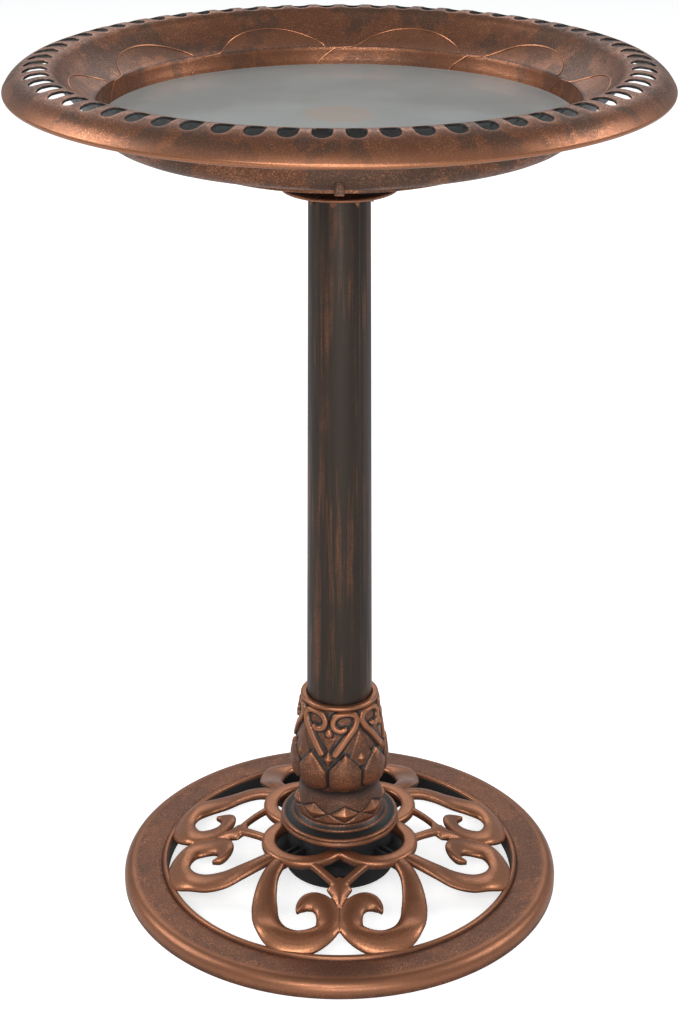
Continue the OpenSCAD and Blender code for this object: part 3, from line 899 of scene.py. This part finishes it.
def build_post():
    """Tapered tube with the two fine parting lines of its mould."""
    steps, wall = 720, 2.5
    heights = [POST_LOW_Z] + list(np.linspace(COLLAR_TOP - 6, POST_TOP_Z, 12))
    outer = [(float(post_radius(z)), z) for z in heights]
    inner = [(POST_R_TOP - wall, POST_TOP_Z), (POST_R_LOW - wall, COLLAR_TOP),
             (POST_R_LOW - wall, POST_LOW_Z)]
    profile = np.array(outer + inner + outer[:1])
    verts, faces = turned(profile, steps)
    angle = np.degrees(np.arctan2(verts[:, 1], verts[:, 0]))
    radius = np.hypot(verts[:, 0], verts[:, 1])
    shown = (np.repeat(np.arange(len(profile)), steps) < len(outer)) & (verts[:, 2] > COLLAR_TOP - 1)
    lift = sum(0.45 * np.exp(-(((angle - s + 180) % 360 - 180) / 0.7) ** 2) for s in SEAM_TURN)
    scale = np.where(shown, (radius + lift) / radius, 1)
    verts[:, :2] *= scale[:, None]
    obj = make_object("post_tube", verts, faces, brushed_post(), np.full(len(verts), 0.6))
    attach(obj, "stand")
    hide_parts("post")
    return obj


def build_cap(leaves):
    """Beaded flange, spigot and plug, with pointed leaves hanging round the post."""
    material = copper("Copper cap", 0.4, 0.5)
    spigot_r, spigot_h, wall, plug_r = 26.0, 24.0, 3.5, POST_R_TOP - 2.6
    neck = POST_R_TOP + 0.35
    top = CAP_Z + CAP_T
    profile = joined([(neck, CAP_Z - 0.4)],
                     bow((POST_R_TOP + 5, CAP_Z + 0.2), (CAP_R - 7, CAP_Z + 0.6), 0.2, 4),
                     arc((CAP_R - 4.6, CAP_Z + 1.1), 1.1, 200, 300, 4),
                     arc((CAP_R - 1.6, CAP_Z + 1.6), 1.6, -100, 80, 8), [(CAP_R - 2.4, CAP_Z + 3.4)],
                     [(CAP_R - 6, top - 0.4), (CAP_R - 9, top), (spigot_r, top), (spigot_r, top + spigot_h),
                      (spigot_r - wall, top + spigot_h), (spigot_r - wall, top), (4.6, top), (4.6, CAP_Z),
                      (plug_r - wall, CAP_Z), (plug_r - wall, CAP_Z - 24), (plug_r, CAP_Z - 24),
                      (plug_r, CAP_Z - 0.4), (neck, CAP_Z - 0.4)])
    relief = np.interp(np.arange(len(profile)), [0, 5, 9, 14, 18, 20, 40],
                       [0.12, 0.2, 0.7, 0.85, 0.5, 0.35, 0.3])
    flange = make_object("cap_flange", *turned(profile, 160), material, np.repeat(relief, 160), 35)
    # Rows of one leaf: height under the flange, half width and lean
    rows = [(0.6, 4.5, 0.1), (-2.2, 4.5, 0.0), (-4.4, 3.4, 0.1), (-7.2, 1.7, 0.25), (-9.4, 0.25, 0.35)]
    out = np.array([0.5, 1.3, 1.9, 1.3, 0.5, 0.0, 0.0, 0.0])
    loops = []
    for dz, half, lean in rows:
        across = np.array([-1, -0.55, 0, 0.55, 1, 0.5, 0, -0.5]) * half
        away = np.sqrt((neck + lean + out) ** 2 - across ** 2)
        loops.append(np.column_stack([away, across, np.full(8, CAP_Z + dz)]))
    verts, faces = section_loops(loops)
    leaf = make_object("cap_leaves", verts, faces, material, np.full(len(verts), 0.5), 50)
    repeat_round(leaf, leaves, FIRST_LEAF, APART, material)
    obj = join("cap_and_leaves", [flange, leaf])
    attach(obj, "stand")
    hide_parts("top_cap")
    return obj


# ---- Bowl ----
FLOOR_Z = CREST_Z - 51.0
BREAK_Z = CREST_Z - 27.0
WALL = 3.5
CREST_R, DISH_R, LIP_R, FILLET = 222.0, 182.0, 3.0, 12.0
COVE_W, RIM_WALL = 9.0, 2.0
LIP_C = np.array([BOWL_R - LIP_R - 0.02, CREST_Z - 17.5])
BAND = np.array([CREST_R + 14, CREST_Z - 3.2])
FILLET_C = (DISH_R - 2.5 - FILLET, FLOOR_Z + FILLET)
FOOT_R = 119.0
RIM_IN, RIM_OUT = 211.0, 239.0
SLOT_BITE = 6.5
SECTOR_STEPS = 6


def upper_profile():
    """Upper face of the bowl from the middle of the floor out to the top of the lip."""
    tip = LIP_C + LIP_R * np.array([math.cos(0.61), math.sin(0.61)])
    crest = spline([(CREST_R - COVE_W, CREST_Z - 1.5), (CREST_R - 6, CREST_Z - 0.65),
                    (CREST_R - 2.5, CREST_Z - 0.12), (CREST_R, CREST_Z - 0.02),
                    (CREST_R + 3, CREST_Z - 0.15), (CREST_R + 7.5, CREST_Z - 0.95), BAND], 4)
    return joined([(0, FLOOR_Z)], arc(FILLET_C, FILLET, -86, 0, 12), wall_profile(),
                  [(DISH_R, BREAK_Z)],
                  bow((DISH_R + 1.2, BREAK_Z + 0.35), (CREST_R - COVE_W - 1, CREST_Z - 2.0), -3, 16), crest,
                  bow(BAND, tip, 1.6, 12))


def wall_profile():
    """Upright wall between the floor fillet and the break line."""
    return bow((DISH_R - 2.5, FLOOR_Z + FILLET), (DISH_R - 0.5, BREAK_Z - 1.2), -0.2, 5)


def lower_profile():
    """Under face of the bowl from the inside of the foot ring out to under the lip."""
    rim = CREST_Z - RIM_WALL
    lip = LIP_C + LIP_R * np.array([math.cos(3.49), math.sin(3.49)])
    return joined([(FOOT_R + 0.01, FLOOR_Z - WALL)], arc(FILLET_C, FILLET + WALL, -86, 0, 10),
                  bow((DISH_R + 2.8, BREAK_Z - WALL), (CREST_R - COVE_W + 0.8, rim - 1.5), -3, 12),
                  [(CREST_R - 4, rim - 0.35), (CREST_R, rim - 0.02), (CREST_R + 7, rim - 0.9)],
                  bow(BAND - [0.6, RIM_WALL], lip, 1.4, 10))


def height_on(profile, r):
    """Height of a profile at each radius."""
    return np.interp(r, profile[:, 0], profile[:, 1])


def stadium(direction, half_len, half_wide):
    """Distance from a slot's middle to its rounded outline in each direction."""
    c, s = np.cos(direction), np.sin(direction)
    flat = half_wide / np.maximum(np.abs(s), 1e-9)
    straight = half_len - half_wide
    k = straight * np.abs(c)
    end = k + np.sqrt(np.maximum(k * k - straight ** 2 + half_wide ** 2, 0))
    return np.where(flat * np.abs(c) <= straight, flat, end)


def slot_sector(count, width, length):
    """One sector of the rim with its slot, from the inner weld line to the outer one."""
    half_turn = math.pi / count
    mid = CREST_R - SLOT_BITE + length / 2
    n_side = 10
    t = np.linspace(-1, 1, SECTOR_STEPS + 1)
    u = np.linspace(0, 1, n_side + 1)
    outer = [(RIM_OUT, half_turn * v) for v in t[::-1]]
    up = [(RIM_IN + (RIM_OUT - RIM_IN) * v, half_turn) for v in u[1:-1]]
    down = [(RIM_OUT - (RIM_OUT - RIM_IN) * v, -half_turn) for v in u[1:-1]]
    inner = [(RIM_IN, half_turn * v) for v in t]
    frame_pts = np.array(inner + up + outer + down)
    flat = np.column_stack([frame_pts[:, 0] * np.cos(frame_pts[:, 1]) - mid,
                            frame_pts[:, 0] * np.sin(frame_pts[:, 1])])
    direction = np.arctan2(flat[:, 1], flat[:, 0])
    edge = stadium(direction, length / 2, width / 2)

    def loop(grow, mix):
        """The slot's outline grown by so many mm and mixed towards the sector's edge."""
        r = (edge + grow) * (1 - mix) + np.linalg.norm(flat, axis=1) * mix
        return np.column_stack([mid + r * np.cos(direction), r * np.sin(direction)])

    top, low = upper_profile(), lower_profile()

    def placed(xy, profile, drop):
        """Points lowered onto one face of the bowl."""
        return np.column_stack([xy, height_on(profile, np.hypot(xy[:, 0], xy[:, 1])) - drop])

    loops = [placed(loop(0, 1), top, 0), placed(loop(1.6, 0.4), top, 0), placed(loop(0.9, 0.02), top, 0.0),
             placed(loop(0.3, 0), top, 0.15), placed(loop(0.0, 0), top, 0.55),
             placed(loop(0.0, 0), low, -0.4), placed(loop(0.5, 0), low, 0), placed(loop(1.6, 0.4), low, 0),
             placed(loop(0, 1), low, 0)]
    # Slot walls and the rim's underside round each slot are set near black as painted shade
    slot_finish_and_shade = [0.60, 0.60, 0.75, 0.5, 0.1, 0.02, 0.02, 0.02, 0.02]
    verts, faces = section_loops(loops, closed_ends=False)
    return verts, faces, np.repeat(slot_finish_and_shade, len(direction))


def petal_path():
    """Outline of one petal as (degrees, radius), from its start on the break line to the water."""
    return spline([(-14.4, 182.2), (-13.6, 186.5), (-11.5, 192.0), (-8.5, 197.0), (-5.3, 200.2), (-2, 201.7),
                   (1.2, 201.8), (4.3, 200.8), (7.2, 198.4), (9.8, 194.4), (11.8, 189.4), (13.2, 185.3),
                   (14.6, 182.3), (16.6, 181.8), (18.8, 181.6), (20.6, 181.1), (22.2, 180.5),
                   (23.5, 179.6), (24.0, 178.6), (24.2, 170), (24.6, 130), (26, 80), (28, 50), (31, 24)], 5)


def on_bowl(path, lift=0.0):
    """Lays a path of (degrees, radius) on the upper face of the bowl."""
    top = upper_profile()
    a = np.radians(path[:, 0])
    return np.column_stack([path[:, 1] * np.cos(a), path[:, 1] * np.sin(a),
                            height_on(top, path[:, 1]) + lift])


def build_bowl(sizes):
    """The bowl: a slotted rim, the turned inside, lip and underside, petal lines, flower and ribs."""
    material = copper("Copper bowl", 0.8, 0.58, 20.0, 900.0)
    count = sizes.slot_count
    steps = count * SECTOR_STEPS
    verts, faces, shade = slot_sector(count, sizes.slot_width / MM, sizes.slot_length / MM)
    rim = make_object("rim_slots", verts, faces, material, shade)
    repeat_round(rim, count, 180 / count, WELD, material)
    top, low = upper_profile(), lower_profile()
    cove = np.concatenate([[0, 12, 26, 60, 95, 120, 140, 155, 165], np.linspace(170, 179.4, 8)])
    beyond = np.concatenate([[182.0, 182.8], np.linspace(184, RIM_IN, 22)])
    inside = np.vstack([np.column_stack([cove, height_on(top, cove)]), wall_profile(),
                        np.column_stack([beyond, height_on(top, beyond)])])
    inside_v, inside_f = turned(inside, steps)
    shade_in = np.full(len(inside_v), 0.62)
    shade_in += 0.10 * petal_mask(inside_v, sizes.petal_count)
    # Painted shade: a dark line along the crease of the break
    shade_in[np.abs(inside_v[:, 2] - BREAK_Z) < 0.4] = 0.3
    outer_r = np.linspace(RIM_OUT, top[-1, 0], 7)
    lip = arc(LIP_C, LIP_R, 35, -160, 16)
    under_out = np.array([r for r in low[::-1, 0] if r > RIM_OUT] + [RIM_OUT])
    strip = np.vstack([np.column_stack([outer_r, height_on(top, outer_r)]), lip[1:],
                       np.column_stack([under_out[1:], height_on(low, under_out[1:])])])
    # Copper on the lip's edge, partly rubbed wear and partly painted highlight; darker under the lip as
    # painted shade
    shade_out = np.interp(np.arange(len(strip)), [0, 3, 6, 9, 16, 20, len(strip)],
                          [0.62, 0.64, 0.8, 1.0, 0.9, 0.4, 0.3])
    low_r = np.concatenate([[RIM_IN], low[::-1, 0][low[::-1, 0] < RIM_IN]])
    under = np.column_stack([low_r, height_on(low, low_r)])
    base = FLOOR_Z - WALL
    foot = joined([(FOOT_R, base - 0.8), (FOOT_R - 0.1, BOWL_FOOT_Z + 1.2)],
                  arc((FOOT_R - 1.2, BOWL_FOOT_Z + 1.1), 1.1, 0, -90, 4),
                  arc((FOOT_R - WALL + 1.1, BOWL_FOOT_Z + 1.1), 1.1, -90, -180, 4),
                  [(FOOT_R - WALL, base), (0, base)])
    below = np.vstack([under, foot])
    # Painted shade: the underside goes near black from 185 to 195 mm out, under the rim and behind the slots
    shade_low = np.interp(below[:, 0], [185, 195], [0.5, 0.03])
    parts = [rim, make_object("bowl_inside", inside_v, inside_f, material, shade_in)]
    for name, rows, values in (("bowl_lip", strip, shade_out), ("bowl_under", below, shade_low)):
        v, f = turned(rows, steps)
        parts.append(make_object(name, v, f, material, np.repeat(values, steps)))
    shell = join("bowl_shell", parts)
    tidy(shell, 38, 3e-5)
    path = petal_path()
    line_v, line_f = bead_tube(on_bowl(path, -0.1), sizes.bead / MM, 8)
    lines = make_object("petal_lines", line_v, line_f, material, np.full(len(line_v), 1.0))
    repeat_round(lines, sizes.petal_count, 90 + 180 / sizes.petal_count, APART, material)
    disc = np.array([(0, 1.4), (8, 1.2), (19, 1.5), (22, 1.2), (23.5, -0.5), (0, -0.5)]) + [0, FLOOR_Z]
    flower = turned_object("floor_flower", disc, 60, material, np.ones(len(disc)))
    rib_top, corner = base, FILLET_C[0] + FILLET + 2
    leg = [(FOOT_R - 1, BOWL_FOOT_Z), (FOOT_R + 5, BOWL_FOOT_Z), (FOOT_R + 5, rib_top + 0.2),
           (FOOT_R - 1, rib_top + 0.2)]
    tab = joined([(FILLET_C[0], rib_top), (corner, rib_top), (corner, rib_top + 9.5)],
                 arc(FILLET_C, FILLET + WALL / 2, -20, -90, 6))
    ribs = [slab(f"bowl_rib_{i}", outline, 3.5, material) for i, outline in enumerate((leg, tab))]
    ribs = join("bowl_ribs", ribs)
    repeat_round(ribs, 4, -90, APART, material)
    tidy(ribs, 40)
    obj = join("bowl_moulding", [shell, lines, flower, ribs])
    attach(obj, "dish")
    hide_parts("bowl")
    return obj


def petal_mask(points, count):
    """One inside the petal outlines on the cove, and on the wall between them; zero elsewhere."""
    outline = petal_path()
    outline = outline[outline[:, 1] > 181.7]
    rising, falling = outline[outline[:, 0] < 0], outline[outline[:, 0] >= 0]
    radius = np.hypot(points[:, 0], points[:, 1])
    offset = cell(np.degrees(np.arctan2(points[:, 1], points[:, 0])) - 90, 360 / count)
    left = np.interp(radius, rising[:, 1], rising[:, 0])
    right = np.interp(radius, falling[::-1, 1], falling[::-1, 0])
    inside = (offset > left) & (offset < right) & (radius < outline[:, 1].max())
    wall = (radius > 170) & (radius <= DISH_R)
    return np.where(inside | wall, 1.0, 0.0)


def slab(name, outline, half, material):
    """An upright slab from an outline of (radius, height), half as thick to each side of Y = 0."""
    rim = np.asarray(outline, float)
    middle = rim.mean(axis=0)
    eased = middle + (rim - middle) * 0.93
    loops = [np.column_stack([o[:, 0], np.full(len(o), y), o[:, 1]])
             for o, y in ((eased, -half), (rim, 0.6 - half), (rim, half - 0.6), (eased, half))]
    verts, faces = section_loops(loops)
    return make_object(name, verts, faces, material, np.full(len(verts), 0.5))


def build_water(sizes):
    """Still water with a turned-up edge where it wets the wall."""
    level = FLOOR_Z + sizes.water_depth / MM
    edge = float(np.interp(level, upper_profile()[2:18, 1], upper_profile()[2:18, 0])) - 0.3
    rows = joined([(0, level)], bow((edge - 14, level), (edge - 4, level + 0.05), 0, 3),
                  [(edge - 1.8, level + 0.1), (edge - 0.3, level + 0.35), (edge, level - 0.6),
                   (edge - 2, level - 0.9), (edge - 12, level - 1.0), (0, level - 1.0)])
    obj = turned_object("water", rows, 240, water_surface(), angle=60)
    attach(obj, "dish")
    return obj


# ---- Studio ----
CAMERA_PLACE = (0.0, -1.5553, 1.0288)
CAMERA_PITCH, CAMERA_LENS, CAMERA_SENSOR = 66.2, 73.37, 36.0
FLOOR_REACH, FLOOR_GLOW = 9, 0.64
FLOOR_DULL, FLOOR_PALE = (0.80, 0.80, 0.80, 1), (0.84, 0.84, 0.84, 1)
SKY, SKY_POWER = (0.96, 0.98, 1.0, 1), 0.38
# Name, place and aim in metres, size, watts and colour
LIGHTS = [
    ("front_softbox", (0.2, -2.8, 0.50), (0, 0, 0.25), (1.7, 0.7), 20, (1.0, 0.97, 0.94)),
    ("high_softbox", (-0.35, -2.2, 1.75), (0, 0, 0.5), (1.5, 0.7), 24, (1.0, 0.98, 0.95)),
    ("left_softbox", (-2.2, 0.1, 1.6), (0, 0, 0.5), (1.2, 1.2), 22, (1, 1, 1)),
    ("right_softbox", (2.2, 0.1, 1.6), (0, 0, 0.5), (1.2, 1.2), 18, (1, 1, 1)),
    ("back_softbox", (0, 2.7, 2.3), (0, 0, 0.5), (3.6, 1.2), 21, (1, 1, 1)),
]


def area_light(name, place, aim, size, power, colour):
    """A rectangular softbox at place, turned towards aim."""
    data = bpy.data.lights.new(name, "AREA")
    data.shape = "RECTANGLE"
    data.size, data.size_y = size
    data.energy = power
    data.color = colour
    light = new_object(name, data)
    light.location = place
    light.rotation_euler = (Vector(aim) - Vector(place)).to_track_quat("-Z", "Y").to_euler()


def build_stage():
    """The pale floor, the soft lights, the sky and the camera."""
    data = bpy.data.cameras.new("camera")
    data.lens, data.sensor_width = CAMERA_LENS, CAMERA_SENSOR
    camera = new_object("camera", data)
    camera.location = CAMERA_PLACE
    camera.rotation_euler = (math.radians(CAMERA_PITCH), 0.0, 0.0)
    bpy.context.scene.camera = camera
    mesh = bpy.data.meshes.new("studio_floor")
    corners = [(x * FLOOR_REACH, y * FLOOR_REACH, 0) for x, y in ((-1, -1), (1, -1), (1, 1), (-1, 1))]
    mesh.from_pydata(corners, [], [(0, 1, 2, 3)])
    material, tree, bsdf, where = shader("Pale floor")
    seen = tree.nodes.new("ShaderNodeLightPath").outputs["Is Camera Ray"]
    feed(tree, bsdf, {"Base Color": mix_colour(tree, noise(tree, where, 3.0), FLOOR_DULL, FLOOR_PALE),
                      "Roughness": 0.9, "Emission Color": (1, 1, 1, 1),
                      "Emission Strength": maths(tree, "MULTIPLY", seen, FLOOR_GLOW)})
    mesh.materials.append(material)
    floor = new_object("studio_floor", mesh)
    world = bpy.data.worlds.new("Studio")
    world.use_nodes = True
    feed(world.node_tree, world.node_tree.nodes["Background"], {0: SKY, 1: SKY_POWER})
    bpy.context.scene.world = world
    bpy.context.scene.view_settings.view_transform = "Standard"
    for row in LIGHTS:
        area_light(*row)


# ---- Pieces kept from the frame ----
def finish_inner_parts():
    """Gives the hub, fixings, seat and socket of the frame their finishes."""
    finishes = {"hub_spokes": dark_moulding, "hub_drum": dark_moulding, "hub_cover": dark_moulding,
                "tie_rod": zinc_steel, "tie_nuts": zinc_steel, "tie_washers": zinc_steel,
                "socket_screws": zinc_steel, "seat_ring": dark_moulding, "bowl_socket": dark_moulding}
    for name, finish in finishes.items():
        if name not in bpy.data.objects:
            raise RuntimeError(f"{name} is missing from the frame")
        obj = bpy.data.objects[name]
        obj.data.materials.clear()
        obj.data.materials.append(finish())


# ---- Operators ----
class BIRDBATH_OT_studio(bpy.types.Operator):
    """Adds the floor, the soft lights and the camera"""
    bl_idname = "birdbath.studio"
    bl_label = "Studio"

    def execute(self, context):
        build_stage()
        return {"FINISHED"}


class BIRDBATH_OT_foot_ring(bpy.types.Operator):
    """Builds the moulded foot ring"""
    bl_idname = "birdbath.foot_ring"
    bl_label = "Foot Ring"

    def execute(self, context):
        build_foot_ring()
        return {"FINISHED"}


class BIRDBATH_OT_heart_scrolls(bpy.types.Operator):
    """Builds the four cast hearts of the foot"""
    bl_idname = "birdbath.heart_scrolls"
    bl_label = "Heart Scrolls"

    def execute(self, context):
        build_scrolls(context.scene.bird_bath_sizes.scroll_height / MM)
        return {"FINISHED"}


class BIRDBATH_OT_lobed_ring(bpy.types.Operator):
    """Builds the cast ring of four lobes"""
    bl_idname = "birdbath.lobed_ring"
    bl_label = "Lobed Ring"

    def execute(self, context):
        build_lobed_ring(context.scene.bird_bath_sizes.scroll_height / MM)
        return {"FINISHED"}


class BIRDBATH_OT_hub_flare(bpy.types.Operator):
    """Builds the dark flare round the hub drum"""
    bl_idname = "birdbath.hub_flare"
    bl_label = "Hub Flare"

    def execute(self, context):
        build_hub_flare()
        return {"FINISHED"}


class BIRDBATH_OT_lotus_collar(bpy.types.Operator):
    """Builds the cast collar with its petals and lyres"""
    bl_idname = "birdbath.lotus_collar"
    bl_label = "Lotus Collar"

    def execute(self, context):
        build_collar()
        return {"FINISHED"}


class BIRDBATH_OT_post(bpy.types.Operator):
    """Builds the tapered post"""
    bl_idname = "birdbath.post"
    bl_label = "Post"

    def execute(self, context):
        build_post()
        return {"FINISHED"}


class BIRDBATH_OT_cap(bpy.types.Operator):
    """Builds the cap and its hanging leaves"""
    bl_idname = "birdbath.cap"
    bl_label = "Cap"

    def execute(self, context):
        build_cap(context.scene.bird_bath_sizes.leaf_count)
        return {"FINISHED"}


class BIRDBATH_OT_bowl(bpy.types.Operator):
    """Builds the slotted bowl with its petal lines"""
    bl_idname = "birdbath.bowl"
    bl_label = "Bowl"

    def execute(self, context):
        build_bowl(context.scene.bird_bath_sizes)
        return {"FINISHED"}


class BIRDBATH_OT_water(bpy.types.Operator):
    """Adds the still water in the bowl"""
    bl_idname = "birdbath.water"
    bl_label = "Water"

    def execute(self, context):
        build_water(context.scene.bird_bath_sizes)
        return {"FINISHED"}


class BIRDBATH_OT_inner_parts(bpy.types.Operator):
    """Finishes the frame's own hub, fixings, seat and socket"""
    bl_idname = "birdbath.inner_parts"
    bl_label = "Inner Parts"

    def execute(self, context):
        finish_inner_parts()
        return {"FINISHED"}


OPERATORS = [
    BIRDBATH_OT_studio, BIRDBATH_OT_foot_ring, BIRDBATH_OT_heart_scrolls, BIRDBATH_OT_lobed_ring,
    BIRDBATH_OT_hub_flare, BIRDBATH_OT_lotus_collar, BIRDBATH_OT_post, BIRDBATH_OT_cap,
    BIRDBATH_OT_bowl, BIRDBATH_OT_water, BIRDBATH_OT_inner_parts,
]


class BIRDBATH_PT_panel(bpy.types.Panel):
    """Sizes, colours and builders of the bird bath."""
    bl_label = "Bird Bath"
    bl_idname = "BIRDBATH_PT_panel"
    bl_space_type = "VIEW_3D"
    bl_region_type = "UI"
    bl_category = "Bird Bath"

    def draw(self, context):
        """Shows the settings, then a button for each builder."""
        layout = self.layout
        for group in (context.scene.bird_bath_sizes, context.scene.bird_bath_colours):
            box = layout.box()
            for name in group.__annotations__:
                box.prop(group, name)
        for item in OPERATORS:
            layout.operator(item.bl_idname)


CLASSES = [BirdBathSizes, BirdBathColours] + OPERATORS + [BIRDBATH_PT_panel]


def register():
    """Adds the classes and their settings."""
    for item in CLASSES:
        bpy.utils.register_class(item)
    bpy.types.Scene.bird_bath_sizes = PointerProperty(type=BirdBathSizes)
    bpy.types.Scene.bird_bath_colours = PointerProperty(type=BirdBathColours)


def unregister():
    """Takes the classes and their settings away."""
    del bpy.types.Scene.bird_bath_colours
    del bpy.types.Scene.bird_bath_sizes
    for item in reversed(CLASSES):
        bpy.utils.unregister_class(item)


def main():
    """Runs every builder in order."""
    register()
    for item in OPERATORS:
        family, name = item.bl_idname.split(".")
        if getattr(getattr(bpy.ops, family), name)() != {"FINISHED"}:
            raise RuntimeError(f"{item.bl_label} did not finish")


if __name__ == "__main__":
    main()
